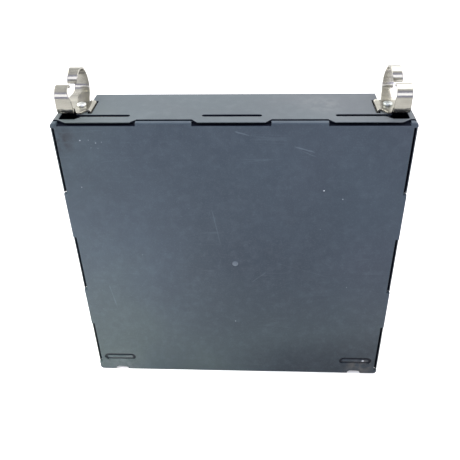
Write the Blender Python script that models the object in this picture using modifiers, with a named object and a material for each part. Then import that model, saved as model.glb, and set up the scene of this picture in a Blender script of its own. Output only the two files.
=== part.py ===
"""Prismatic battery cell: a moulded snap-together case around a stack of
sealed pouch cells, with two riveted spring-clip terminals on its top face.
Front face is toward -Y, up is +Z, and the origin is under the middle of the case.
"""
import math

import bmesh
import bpy
from mathutils import Matrix, Vector

MM = 0.001

# Case, in millimetres. Depth "y" is counted from the front face backwards.
WIDTH = 230.0
DEPTH = 48.5
TOP = 224.0
WALL = 1.6
HALF = WIDTH / 2
CORNER_R = 2.5
RIM_Y = 1.6            # front edge of the tray's latch strips
SEAM_Y = 6.0           # front edge of the tray between the strips
LEAD_IN = 1.2          # lead-in chamfer under the top strips
LEAD_IN_SIDE = 1.2     # and inside the side strips
PANEL = 1.8            # cover panel thickness
COVER_DEPTH = 3.4      # cover rim, front to back
SKIRT_Y = 8.0          # back edge of the cover's inner skirt
SKIRT_X = 111.7        # its outer faces
SKIRT_Z = (2.2, 221.4)
SKIRT_T = 1.4
STRIP_SINK = 2.2       # how far the cover's edge drops below the top at a strip
SIDE_SINK = 2.6        # the same on the two sides
TOP_TABS = (25.0, 60.3)
STRIP_END = 111.0
SIDE_STRIPS = {-1: ((8.0, 52.0), (87.0, 136.0), (172.0, 220.6)),
               1: ((3.4, 52.0), (87.0, 136.0), (172.0, 220.6))}
SIDE_SLANT = 1.2       # how far a side strip's slanted end runs
ARCH_X = (91.2, 101.4) # foot arches
GROOVE = 1.25          # depth of the groove round each lower bar
BAR_X = (85.4, 107.4)
BAR_Z_AT = (13.2, 16.2)
GROOVE_GAP = 2.0       # width of the groove
SLIT_Y = (10.2, 13.4)
HOLE_X = (100.5, 110.5)
HOLE_Y = (6.3, 19.2)
POCKET_X = 95.4        # rear top corner steps
POCKET_Y = 37.0
POCKET_Z = 214.0

# Terminal clips.
STRIP_T = 1.2
BASE_Z = TOP + 0.3     # underside of the base plate
BASE_MID = BASE_Z + STRIP_T / 2
BASE_OUT = {-1: 111.4, 1: 110.8}
BASE_IN = 93.2
BASE_Y = (17.0, 34.5)
BEND_Y = (20.7, 29.5)  # where the arms leave the flat base
# Edges of the arms against the share of their length. The left clip is bent out a little further.
FRONT_OUT = {-1: 111.5, 1: 110.9}
FRONT_IN = {-1: ((0, 104.1), (0.27, 101.2), (0.42, 101.0), (0.55, 101.5), (0.62, 102.6), (0.7, 103.2), (0.86, 103.3), (1, 104.0)),
            1: ((0, 103.4), (0.27, 100.6), (0.42, 100.4), (0.58, 101.1), (0.86, 101.4), (1, 101.8))}
BACK_OUT = {-1: ((0, 111.3), (0.10, 111.9), (0.18, 111.7), (0.22, 111.1), (0.26, 110.3), (0.30, 109.7), (0.35, 109.4), (0.5, 109.0), (0.85, 108.8), (1, 109.6)),
            1: ((0, 110.7), (0.10, 110.3), (0.14, 109.6), (0.18, 108.7), (0.22, 107.6), (0.26, 106.8), (0.35, 106.5), (0.5, 107.0), (0.85, 108.6), (1, 109.4))}
BACK_IN = ((0, 95.8), (0.10, 96.7), (0.18, 97.6), (0.26, 98.2), (0.35, 98.8), (0.45, 99.2), (0.52, 99.5), (0.60, 100.3), (0.70, 100.7),
           (0.85, 101.9), (0.92, 102.3), (1, 103.6))
FLANGE_X = 92.6
RIVET_X = 99.6
RIVET_Y = 24.5
RIVET_R = 2.0
RIVET_HOLE_R = 2.3
SPOT_R = 3.3           # coined seat round the rivet head
SPOT_DEPTH = 0.15

# Cells.
CELL_PITCH = 10.4
CELL_MID = 9.1
CELLS = 4
POUCH_X = 108.5
POUCH_Z = (6.0, 207.0)
FILM = 0.3
SEAL_HALF = 0.6
SWELL_HALF = 4.3
STACK_X = 100.0
STACK_Z = (13.0, 197.0)
STACK_HALF = 3.9
TAB_X = 71.0
TAB_HALF = 15.0
TAB_T = 0.5
TAB_Z = (197.4, 215.6)
BAR_Z = (211.5, 213.0)

for old in list(bpy.data.objects):
    bpy.data.objects.remove(old, do_unlink=True)

scene_root = bpy.context.scene.collection
parts = bpy.data.collections.new("prismatic_battery_cell")
tools = bpy.data.collections.new("construction")
scene_root.children.link(parts)
scene_root.children.link(tools)
tools.hide_render = True

case_root = bpy.data.objects.new("case_root", None)
cover_root = bpy.data.objects.new("cover_slide", None)
for empty in (case_root, cover_root):
    empty.empty_display_size = 0.02
    parts.objects.link(empty)


def depth(y):
    """World Y of a depth counted from the front face."""
    return y - DEPTH / 2


# ---------------------------------------------------------------- materials
def material(name, colour, roughness, metallic):
    made = bpy.data.materials.new(name)
    made.use_nodes = True
    shader = made.node_tree.nodes["Principled BSDF"]
    shader.inputs["Base Color"].default_value = (*colour, 1.0)
    shader.inputs["Roughness"].default_value = roughness
    shader.inputs["Metallic"].default_value = metallic
    made.diffuse_color = (*colour, 1.0)
    return made


CASE_MAT = material("case_plastic", (0.055, 0.068, 0.082), 0.55, 0.0)
COVER_MAT = material("cover_plastic", (0.060, 0.072, 0.086), 0.58, 0.0)
CLIP_MAT = material("clip_strip", (0.62, 0.60, 0.56), 0.28, 1.0)
RIVET_MAT = material("rivet_metal", (0.70, 0.68, 0.64), 0.25, 1.0)
WASHER_MAT = material("washer_metal", (0.60, 0.60, 0.60), 0.35, 1.0)
COPPER_MAT = material("copper_bar", (0.72, 0.40, 0.25), 0.30, 1.0)
ALUMINIUM_MAT = material("aluminium_bar", (0.78, 0.79, 0.80), 0.32, 1.0)
FILM_MAT = material("pouch_film", (0.72, 0.73, 0.74), 0.35, 0.8)
STACK_MAT = material("electrode_pack", (0.05, 0.05, 0.055), 0.8, 0.0)
COPPER_TAB_MAT = material("nickelled_tab", (0.66, 0.62, 0.56), 0.3, 1.0)
ALU_TAB_MAT = material("aluminium_tab", (0.80, 0.80, 0.81), 0.3, 1.0)
FOAM_MAT = material("foam", (0.03, 0.03, 0.032), 0.95, 0.0)
SPACER_MAT = material("spacer_sheet", (0.75, 0.74, 0.70), 0.7, 0.0)


# ------------------------------------------------------------------ helpers
def add(name, mesh, collection, mat=None, parent=None):
    obj = bpy.data.objects.new(name, mesh)
    collection.objects.link(obj)
    if mat is not None:
        mesh.materials.clear()
        mesh.materials.append(mat)
    if parent is not None:
        obj.parent = parent
    if collection is tools:
        obj.hide_render = True
        obj.display_type = "WIRE"
    return obj


def mesh_from(bm, name):
    bmesh.ops.recalc_face_normals(bm, faces=bm.faces[:])
    mesh = bpy.data.meshes.new(name)
    bm.to_mesh(mesh)
    bm.free()
    return mesh


def add_box(bm, low, high):
    """Add a box between two corners given as (x, y from the front, z)."""
    a = Vector((low[0], depth(low[1]), low[2])) * MM
    b = Vector((high[0], depth(high[1]), high[2])) * MM
    size = b - a
    where = Matrix.Translation((a + b) / 2) @ Matrix.Diagonal((abs(size.x), abs(size.y), abs(size.z), 1))
    return bmesh.ops.create_cube(bm, size=1.0, matrix=where)["verts"]


def box_mesh(name, *boxes):
    bm = bmesh.new()
    for low, high in boxes:
        add_box(bm, low, high)
    return mesh_from(bm, name)


PLAN = Matrix.Identity(4)                                   # outline in x, y
FRONT = Matrix(((1, 0, 0, 0), (0, 0, -1, 0), (0, 1, 0, 0), (0, 0, 0, 1)))   # x, z
SIDE = Matrix(((0, 0, 1, 0), (1, 0, 0, 0), (0, 1, 0, 0), (0, 0, 0, 1)))     # y, z


def outline_mesh(name, outlines, low, high, plane):
    """Flat outlines, extruded between two levels along the plane's normal."""
    curve = bpy.data.curves.new(name, "CURVE")
    curve.dimensions = "2D"
    curve.fill_mode = "BOTH"
    curve.extrude = (high - low) / 2 * MM
    for points in outlines:
        spline = curve.splines.new("POLY")
        spline.points.add(len(points) - 1)
        for point, (u, v) in zip(spline.points, points):
            point.co = (u * MM, v * MM, 0.0, 1.0)
        spline.use_cyclic_u = True
    guide = bpy.data.objects.new(name, curve)
    tools.objects.link(guide)
    bpy.context.view_layer.update()
    mesh = bpy.data.meshes.new_from_object(guide.evaluated_get(bpy.context.evaluated_depsgraph_get()))
    bpy.data.objects.remove(guide, do_unlink=True)
    bm = bmesh.new()
    bm.from_mesh(mesh)
    bpy.data.meshes.remove(mesh)
    bmesh.ops.remove_doubles(bm, verts=bm.verts[:], dist=1e-6)
    bmesh.ops.dissolve_limit(bm, angle_limit=math.radians(1.0), verts=bm.verts[:], edges=bm.edges[:])
    middle = (low + high) / 2 * MM
    bm.transform(plane @ Matrix.Translation((0, 0, middle)))
    return mesh_from(bm, name)


def plan(points):
    return [(x, depth(y)) for x, y in points]


def mirrored(points):
    return [(-x, y) for x, y in reversed(points)]


def rounded_box_mesh(name, low, high, side_r, side_steps, end_r, end_steps, end):
    """Box with its four front-to-back edges rounded, then one end's rim."""
    bm = bmesh.new()
    add_box(bm, low, high)
    along = [e for e in bm.edges if abs((e.verts[0].co - e.verts[1].co).normalized().y) > 0.9]
    bmesh.ops.bevel(bm, geom=along, offset=side_r * MM, segments=side_steps, profile=0.5,
                    affect="EDGES", clamp_overlap=True)
    if end_r:
        level = depth(low[1] if end < 0 else high[1]) * MM
        rim = [e for e in bm.edges if all(abs(v.co.y - level) < 1e-7 for v in e.verts)]
        bmesh.ops.bevel(bm, geom=rim, offset=end_r * MM, segments=end_steps, profile=0.5,
                        affect="EDGES", clamp_overlap=True)
    return mesh_from(bm, name)


def boolean(obj, mesh, operation):
    """Boolean with a tool made for it, evaluated in place."""
    tool = add(obj.name + "_tool", mesh, tools)
    change = obj.modifiers.new(operation.title(), "BOOLEAN")
    change.operation = operation
    change.solver = "EXACT"
    change.object = tool
    bpy.context.view_layer.update()
    made = bpy.data.meshes.new_from_object(obj.evaluated_get(bpy.context.evaluated_depsgraph_get()))
    old = obj.data
    obj.modifiers.clear()
    obj.data = made
    bpy.data.meshes.remove(old)
    bpy.data.objects.remove(tool, do_unlink=True)
    bpy.data.meshes.remove(mesh)


def settle(obj, smooth_angle=None):
    """Clean what the Booleans leave, and set the shading."""
    bm = bmesh.new()
    bm.from_mesh(obj.data)
    bmesh.ops.remove_doubles(bm, verts=bm.verts[:], dist=2e-6)
    bmesh.ops.dissolve_limit(bm, angle_limit=math.radians(0.5), verts=bm.verts[:], edges=bm.edges[:])
    bm.to_mesh(obj.data)
    bm.free()
    if smooth_angle is not None:
        obj.data.shade_smooth()
        obj.data.set_sharp_from_angle(angle=math.radians(smooth_angle))


# ---------------------------------------------------------------- rear tray
def build_tray():
    outer = rounded_box_mesh("rear_tray", (-HALF, RIM_Y, 0), (HALF, DEPTH, TOP), CORNER_R, 3, 1.2, 2, +1)
    tray = add("rear_tray", outer, parts, CASE_MAT, case_root)

    # Rear top corner steps.
    boolean(tray, box_mesh("step", *[((s * POCKET_X, POCKET_Y, POCKET_Z), (s * 130, 60, 240)) for s in (-1, 1)]),
            "DIFFERENCE")

    # Cavity, left full behind the steps so that they have walls and a floor.
    inner = rounded_box_mesh("cavity", (-HALF + WALL, -6, WALL), (HALF - WALL, DEPTH - WALL, TOP - WALL), 1.2, 2, 0, 0, 1)
    cavity = add("cavity", inner, tools)
    boolean(cavity, box_mesh("steps_in", *[((s * (POCKET_X - WALL), POCKET_Y - WALL, POCKET_Z - WALL), (s * 130, 60, 240))
                                          for s in (-1, 1)]), "DIFFERENCE")
    cavity_mesh = cavity.data.copy()
    bpy.data.objects.remove(cavity, do_unlink=True)
    boolean(tray, cavity_mesh, "DIFFERENCE")

    # Lead-in chamfer round the open front.
    bm = bmesh.new()
    for vert in add_box(bm, (-HALF + WALL, RIM_Y - 0.4, WALL), (HALF - WALL, RIM_Y + 2.0, TOP - WALL)):
        if vert.co.y < depth(RIM_Y) * MM:
            vert.co.x += math.copysign(LEAD_IN_SIDE * MM, vert.co.x)
            vert.co.z += (LEAD_IN if vert.co.z > 0.1 else -LEAD_IN) * MM
    boolean(tray, mesh_from(bm, "lead_in"), "DIFFERENCE")

    # Gaps between the latch strips, with slanted ends: top and corners.
    a, b = TOP_TABS
    gaps = []
    for s in (-1, 1):
        tab = [(a, SEAM_Y), (b, SEAM_Y), (b + 4.6, 0.5), (a - 4.6, 0.5)]
        corner = [(STRIP_END, SEAM_Y), (130, SEAM_Y), (130, 0.5), (STRIP_END - 6.9, 0.5)]
        for shape in (tab, corner):
            gaps.append(plan(shape if s > 0 else mirrored(shape)))
    boolean(tray, outline_mesh("top_gaps", gaps, TOP - WALL - 1.5, TOP + 3, PLAN), "DIFFERENCE")

    # The same on the two sides, and the whole bottom edge.
    for s, strips in SIDE_STRIPS.items():
        levels = [-10.0] + [z for strip in strips for z in strip] + [TOP + 10]
        shapes = []
        for low, high in zip(levels[0::2], levels[1::2]):
            low_slant = 0 if low < 0 else SIDE_SLANT
            high_slant = 0 if high > TOP else SIDE_SLANT
            shapes.append([(depth(SEAM_Y), low), (depth(SEAM_Y), high), (depth(0.5), high + high_slant), (depth(0.5), low - low_slant)])
        boolean(tray, outline_mesh("side_gaps", shapes, min(s * 112, s * 118), max(s * 112, s * 118), SIDE), "DIFFERENCE")
    boolean(tray, box_mesh("bottom_gap", ((-130, 0.5, -4), (130, COVER_DEPTH + 0.5, 2.4))), "DIFFERENCE")
    boolean(tray, box_mesh("foot_notches", *[((s * ARCH_X[0], 2.0, -4), (s * ARCH_X[1], 7.0, 2.4)) for s in (-1, 1)]), "DIFFERENCE")

    # Slits behind the strips. The outer ones open into the corner holes.
    slit_end = (SLIT_Y[1] - SLIT_Y[0]) / 2
    slit_mid = (SLIT_Y[0] + SLIT_Y[1]) / 2

    def slit_cap(x, direction):
        return [(x + direction * slit_end * math.sin(t), slit_mid + slit_end * math.cos(t))
                for t in [math.pi * i / 6 for i in range(7)]]

    centre = slit_cap(17.6, +1) + [(x, 2 * slit_mid - y) for x, y in slit_cap(-17.6, -1)]
    outer_cut = [(HOLE_X[0], SLIT_Y[1]), (HOLE_X[0], HOLE_Y[1] - 1), (HOLE_X[0] + 1, HOLE_Y[1]),
                 (HOLE_X[1] - 1, HOLE_Y[1]), (HOLE_X[1], HOLE_Y[1] - 1), (HOLE_X[1], HOLE_Y[0] + 1),
                 (HOLE_X[1] - 1, HOLE_Y[0]), (HOLE_X[0], HOLE_Y[0]), (HOLE_X[0] - 4.5, SLIT_Y[0])]
    outer_cut += [(x, 2 * slit_mid - y) for x, y in slit_cap(67.0, -1)]
    cuts = [plan(centre), plan(outer_cut), plan(mirrored(outer_cut))]
    boolean(tray, outline_mesh("slits", cuts, TOP - WALL - 1.5, TOP + 3, PLAN), "DIFFERENCE")
    side_slits = []
    for s, strips in SIDE_STRIPS.items():
        for low, high in strips:
            side_slits.append(((s * 112, SLIT_Y[0], low + 5), (s * 118, SLIT_Y[1], high - 5)))
    boolean(tray, box_mesh("side_slits", *side_slits), "DIFFERENCE")

    # Slot for each terminal's inner flange, and its rivet hole.
    boolean(tray, box_mesh("slots", *[((s * (FLANGE_X - 1.4), 15.0, TOP - WALL - 1.5), (s * (FLANGE_X + 1.4), 36.0, TOP + 3))
                                      for s in (-1, 1)]), "DIFFERENCE")
    boolean(tray, rivet_holes(TOP - WALL - 1.5, TOP + 3), "DIFFERENCE")
    settle(tray, 32)
    return tray


def rivet_holes(low, high, sides=(-1, 1), radius=RIVET_HOLE_R):
    bm = bmesh.new()
    for s in sides:
        where = Matrix.Translation(Vector((s * RIVET_X, depth(RIVET_Y), (low + high) / 2)) * MM)
        bmesh.ops.create_cone(bm, cap_ends=True, segments=20, radius1=radius * MM, radius2=radius * MM,
                              depth=(high - low) * MM, matrix=where)
    return mesh_from(bm, "rivet_holes")


# -------------------------------------------------------------- front cover
def capsule(xs, zs):
    """Long outline with round ends."""
    r, mid = (zs[1] - zs[0]) / 2, (zs[0] + zs[1]) / 2
    ends = []
    for x, turn in ((xs[1] - r, -0.5), (xs[0] + r, 0.5)):
        ends += [(x + r * math.cos(t), mid + r * math.sin(t)) for t in [math.pi * (turn + i / 6) for i in range(7)]]
    return ends


def build_cover():
    outer = rounded_box_mesh("front_cover", (-HALF, 0, 0), (HALF, COVER_DEPTH, TOP), CORNER_R, 3, 0.9, 2, -1)
    cover = add("front_cover", outer, parts, COVER_MAT, cover_root)
    boolean(cover, box_mesh("hollow", ((-HALF + PANEL, PANEL, PANEL), (HALF - PANEL, 10, TOP - PANEL))), "DIFFERENCE")

    # Where the tray's strips come forward, the cover's edge steps back.
    a, b = TOP_TABS
    sunk = TOP - STRIP_SINK
    cuts = [((-a, -3, sunk), (a, 10, 240))]
    for s in (-1, 1):
        cuts.append(((s * b, -3, sunk), (s * (STRIP_END - 0.5), 10, 240)))
        for low, high in SIDE_STRIPS[s]:
            cuts.append(((s * (HALF - SIDE_SINK), -3, low), (s * 130, 10, high)))
    boolean(cover, box_mesh("edge_steps", *cuts), "DIFFERENCE")

    # Skirt that closes the seam from inside, with snap tongues that run on
    # from it along the tray's walls.
    skirt = rounded_box_mesh("skirt", (-SKIRT_X, 1.2, SKIRT_Z[0]), (SKIRT_X, SKIRT_Y, SKIRT_Z[1]), 1.2, 2, 0, 0, 1)
    ring = add("skirt", skirt, tools)
    boolean(ring, box_mesh("skirt_in", ((-SKIRT_X + SKIRT_T, -4, SKIRT_Z[0] + SKIRT_T), (SKIRT_X - SKIRT_T, 20, SKIRT_Z[1] - SKIRT_T))),
            "DIFFERENCE")
    tongues = [((-17.5, 6.0, SKIRT_Z[1] - 1.3), (17.5, 14.6, SKIRT_Z[1] - 0.1))]
    for s in (-1, 1):
        tongues.append(((s * 66, 6.0, SKIRT_Z[1] - 1.3), (s * 98, 14.6, SKIRT_Z[1] - 0.1)))
        for low, high in SIDE_STRIPS[s]:
            tongues.append(((s * (SKIRT_X - 1.3), 6.0, low + 7), (s * (SKIRT_X - 0.1), 14.6, high - 7)))
    boolean(ring, box_mesh("tongues", *tongues), "UNION")
    ring_mesh = ring.data.copy()
    bpy.data.objects.remove(ring, do_unlink=True)
    boolean(cover, ring_mesh, "UNION")

    # Lower corners: a bar with a groove round it, a slope below and a foot arch.
    grooves, arches = [], []
    for s in (-1, 1):
        ring = capsule((BAR_X[0] - GROOVE_GAP, BAR_X[1] + GROOVE_GAP), (BAR_Z_AT[0] - GROOVE_GAP, BAR_Z_AT[1] + GROOVE_GAP))
        for shape in (ring, capsule(BAR_X, BAR_Z_AT)):
            grooves.append(shape if s > 0 else mirrored(shape))
        arch = [(ARCH_X[0], -3.0), (ARCH_X[1], -3.0), (ARCH_X[1], 1.2)]
        arch += [(ARCH_X[1] - 2.6 + 2.6 * math.cos(t), 1.2 + 1.8 * math.sin(t)) for t in [math.pi / 8 * i for i in range(1, 5)]]
        arch += [(ARCH_X[0] + 2.6 + 2.6 * math.cos(t), 1.2 + 1.8 * math.sin(t)) for t in [math.pi / 8 * i for i in range(4, 8)]]
        arch += [(ARCH_X[0], 1.2)]
        arches.append(arch if s > 0 else mirrored(arch))
    face = DEPTH / 2
    boolean(cover, outline_mesh("grooves", grooves, face - GROOVE, face + 3.0, FRONT), "DIFFERENCE")
    low = BAR_Z_AT[0] - GROOVE_GAP
    slope = [(depth(-0.5), low - 6.0), (depth(0.9), low + 0.2), (depth(0.9), low + 0.6), (depth(-0.5), low + 0.6)]
    for s in (-1, 1):
        ends = sorted((s * (BAR_X[0] + 0.6), s * (BAR_X[1] - 0.6)))
        boolean(cover, outline_mesh("slope", [slope], ends[0], ends[1], SIDE), "DIFFERENCE")
    boolean(cover, outline_mesh("arches", arches, 20.0, 30.0, FRONT), "DIFFERENCE")
    settle(cover, 32)
    return cover


# ----------------------------------------------------------- terminal clips
def bezier(p0, p1, p2, p3, steps):
    out = []
    for i in range(steps + 1):
        t = i / steps
        k = ((1 - t) ** 3, 3 * t * (1 - t) ** 2, 3 * t * t * (1 - t), t ** 3)
        out.append(tuple(k[0] * a + k[1] * b + k[2] * c + k[3] * d for a, b, c, d in zip(p0, p1, p2, p3)))
    return out


def arc(centre, radius, start, end, steps):
    return [(centre[0] + radius * math.cos(math.radians(start + (end - start) * i / steps)),
             centre[1] + radius * math.sin(math.radians(start + (end - start) * i / steps)))
            for i in range(1, steps + 1)]


FRONT_CENTRE = (16.4, 235.4)
FRONT_R = 6.8
FRONT_TURN = 85.0
HOOK_R = 4.2
BACK_CENTRE = (40.2, 238.3)
BACK_R = 6.8


def front_arm():
    """Mid-line of the front arm, from the base out to its hooked end."""
    left = FRONT_CENTRE[0] - FRONT_R
    line = bezier((BEND_Y[0], BASE_MID), (13.0, BASE_MID), (left, 225.8), (left, 230.4), 8)
    line += [(left, 233.0), (left, FRONT_CENTRE[1])]
    line += arc(FRONT_CENTRE, FRONT_R, 180, FRONT_TURN, 6)
    turn = math.radians(FRONT_TURN)
    hook = (FRONT_CENTRE[0] + (FRONT_R - HOOK_R) * math.cos(turn), FRONT_CENTRE[1] + (FRONT_R - HOOK_R) * math.sin(turn))
    line += arc(hook, HOOK_R, FRONT_TURN, 20, 4)
    return line


def back_arm():
    right = BACK_CENTRE[0] + BACK_R
    line = bezier((BEND_Y[1], BASE_MID), (BEND_Y[1] + 10.0, BASE_MID), (right, 226.2), (right, 233.5), 9)
    line += [(right, BACK_CENTRE[1])]
    line += arc(BACK_CENTRE, BACK_R, 0, 188, 12)
    return line


def fraction(line):
    run = [0.0]
    for p, q in zip(line, line[1:]):
        run.append(run[-1] + math.dist(p, q))
    return [r / run[-1] for r in run]


def table(x, rows):
    for (x0, y0), (x1, y1) in zip(rows, rows[1:]):
        if x <= x1:
            return y0 + (y1 - y0) * (x - x0) / (x1 - x0)
    return rows[-1][1]


def strip_mesh(name, line, inner, outer, side):
    """Bent strip: a grid laid along a mid-line, thickened by Solidify."""
    bm = bmesh.new()
    count = len(line) - 1
    bmesh.ops.create_grid(bm, x_segments=1, y_segments=count, size=1.0)
    for vert in bm.verts:
        i = round((vert.co.y + 1) / 2 * count)
        x = inner[i] if vert.co.x < 0 else outer[i]
        vert.co = Vector((side * x, depth(line[i][0]), line[i][1])) * MM
    sheet = add(name, mesh_from(bm, name), tools)
    thick = sheet.modifiers.new("Strip", "SOLIDIFY")
    thick.thickness = (STRIP_T - 0.1) * MM
    thick.offset = 0.0
    thick.use_even_offset = True
    bpy.context.view_layer.update()
    made = bpy.data.meshes.new_from_object(sheet.evaluated_get(bpy.context.evaluated_depsgraph_get()))
    bpy.data.objects.remove(sheet, do_unlink=True)
    bm = bmesh.new()
    bm.from_mesh(made)
    bpy.data.meshes.remove(made)
    bmesh.ops.triangulate(bm, faces=bm.faces[:])
    return mesh_from(bm, name)


def flange_mesh(side):
    """Inner flange: bends down from the base plate through the slot."""
    r = 1.3
    line = [(BASE_IN + 4.0, BASE_MID)]
    line += [(FLANGE_X + r + r * math.cos(t), BASE_MID - r + r * math.sin(t))
             for t in [math.pi / 2 + math.pi / 2 * i / 4 for i in range(5)]]
    line += [(FLANGE_X, 213.8)]
    bm = bmesh.new()
    count = len(line) - 1
    bmesh.ops.create_grid(bm, x_segments=1, y_segments=count, size=1.0)
    for vert in bm.verts:
        i = round((vert.co.y + 1) / 2 * count)
        y = BASE_Y[0] + 0.6 if vert.co.x < 0 else BASE_Y[1] - 0.6
        vert.co = Vector((side * line[i][0], depth(y), line[i][1])) * MM
    sheet = add("flange", mesh_from(bm, "flange"), tools)
    thick = sheet.modifiers.new("Strip", "SOLIDIFY")
    thick.thickness = (STRIP_T - 0.1) * MM
    thick.offset = 0.0
    thick.use_even_offset = True
    bpy.context.view_layer.update()
    made = bpy.data.meshes.new_from_object(sheet.evaluated_get(bpy.context.evaluated_depsgraph_get()))
    bpy.data.objects.remove(sheet, do_unlink=True)
    bm = bmesh.new()
    bm.from_mesh(made)
    bpy.data.meshes.remove(made)
    return mesh_from(bm, "flange")


def build_clip(name, side):
    root, base_out, near = FRONT_IN[side][0][1], BASE_OUT[side], BASE_IN + 1.4
    flank = root - 104.1
    tongue = [(103.1 + flank, 19.4), (101.5 + 0.6 * flank, 15.7), (100.4, 13.7), (99.7, 12.9), (98.8, 12.5), (97.9, 12.9),
              (97.2, 13.9), (96.2, 15.8), (near, 17.5)]
    base = [(base_out, BEND_Y[0] + 0.2), (root - 0.15, BEND_Y[0] + 0.1)] + tongue
    base += [(near, BASE_Y[1]), (95.7, BASE_Y[1] - 0.1), (95.65, BASE_Y[1] - 4.8), (base_out, BASE_Y[1] - 4.9)]
    base = plan(base if side > 0 else mirrored(base))
    clip = add(name, outline_mesh(name, [base], BASE_Z, BASE_Z + STRIP_T, PLAN), parts, CLIP_MAT, case_root)

    front, back = front_arm(), back_arm()
    share = fraction(back)
    line = list(reversed(front)) + back
    outer = [table(f, ((0, base_out - 0.1), (0.3, FRONT_OUT[side]), (1, FRONT_OUT[side]))) for f in reversed(fraction(front))]
    outer += [table(f, BACK_OUT[side]) for f in share]
    inner = [table(f, FRONT_IN[side]) for f in reversed(fraction(front))]
    inner += [table(f, BACK_IN) for f in share]
    boolean(clip, strip_mesh(name + "_arms", line, inner, outer, side), "UNION")
    boolean(clip, flange_mesh(side), "UNION")
    boolean(clip, rivet_holes(BASE_Z - 1.5, BASE_Z + STRIP_T + 1.5, (side,)), "DIFFERENCE")
    boolean(clip, rivet_holes(BASE_Z + STRIP_T - SPOT_DEPTH, BASE_Z + STRIP_T + 1.5, (side,), SPOT_R), "DIFFERENCE")
    settle(clip, 35)
    return clip


def turned(name, profile, steps, side):
    """Profile of (radius, z) points turned about the rivet's axis."""
    mesh = bpy.data.meshes.new(name)
    mesh.from_pydata([(r * MM, 0, z * MM) for r, z in profile], [(i, i + 1) for i in range(len(profile) - 1)], [])
    shape = add(name, mesh, tools)
    turn = shape.modifiers.new("Turn", "SCREW")
    turn.steps = turn.render_steps = steps
    turn.use_merge_vertices = True
    turn.merge_threshold = 0.00001
    turn.use_normal_calculate = True
    bpy.context.view_layer.update()
    made = bpy.data.meshes.new_from_object(shape.evaluated_get(bpy.context.evaluated_depsgraph_get()))
    bpy.data.objects.remove(shape, do_unlink=True)
    made.transform(Matrix.Translation(Vector((side * RIVET_X, depth(RIVET_Y), 0)) * MM))
    return made


def finished(name, mesh, mat):
    bm = bmesh.new()
    bm.from_mesh(mesh)
    bpy.data.meshes.remove(mesh)
    bmesh.ops.remove_doubles(bm, verts=bm.verts[:], dist=1e-6)
    obj = add(name, mesh_from(bm, name), parts, mat, case_root)
    obj.data.shade_smooth()
    obj.data.set_sharp_from_angle(angle=math.radians(40))
    return obj


def build_rivets():
    seat = BASE_Z + STRIP_T + 0.3
    head_r, head_h, tail = 3.0, 1.7, 217.9
    dome = [(head_r, seat + 0.6), (head_r - 0.15, seat + 1.0), (head_r - 0.6, seat + 1.35), (head_r - 1.4, seat + 1.6), (0, seat + head_h)]
    profile = [(0, tail)] + [(3.0, tail), (3.3, tail + 0.5), (3.3, tail + 1.2), (2.9, tail + 1.7), (RIVET_R, tail + 1.7),
                             (RIVET_R, seat), (head_r, seat)] + dome[:-1] + [(0, seat + head_h)]
    low, high = tail + 2.0, TOP - WALL - 0.3
    ring = [(RIVET_HOLE_R, low), (4.1, low), (4.3, low + 0.2), (4.3, high - 0.2), (4.1, high), (RIVET_HOLE_R, high), (RIVET_HOLE_R, low)]
    for s, pole in ((-1, "negative"), (1, "positive")):
        finished("terminal_rivet_" + pole, turned("rivet", profile, 20, s), RIVET_MAT)
        finished("rivet_washer_" + pole, turned("washer", ring, 20, s), WASHER_MAT)


# -------------------------------------------------------------------- cells
def cell_mid(i):
    return CELL_MID + CELL_PITCH * i


def pouch_mesh(name, mid, side):
    """Half of a pouch: a dished sheet with a flat seal rim, thickened by Solidify."""
    xs = (-POUCH_X, -104.6, -102.2, 102.2, 104.6, POUCH_X)
    zs = (POUCH_Z[0], 9.4, 11.4, 198.8, 201.0, POUCH_Z[1])
    bm = bmesh.new()
    bmesh.ops.create_grid(bm, x_segments=5, y_segments=5, size=1.0)
    for vert in bm.verts:
        i = round((vert.co.x + 1) / 2 * 5)
        j = round((vert.co.y + 1) / 2 * 5)
        swell = 2 <= i <= 3 and 2 <= j <= 3
        off = (SWELL_HALF if swell else SEAL_HALF) + FILM / 2
        vert.co = Vector((xs[i], depth(mid + side * off), zs[j])) * MM
    sheet = add(name, mesh_from(bm, name), tools)
    film = sheet.modifiers.new("Film", "SOLIDIFY")
    film.thickness = FILM * MM
    film.offset = 0.0
    bpy.context.view_layer.update()
    made = bpy.data.meshes.new_from_object(sheet.evaluated_get(bpy.context.evaluated_depsgraph_get()))
    bpy.data.objects.remove(sheet, do_unlink=True)
    bm = bmesh.new()
    bm.from_mesh(made)
    bpy.data.meshes.remove(made)
    return mesh_from(bm, name)


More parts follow.
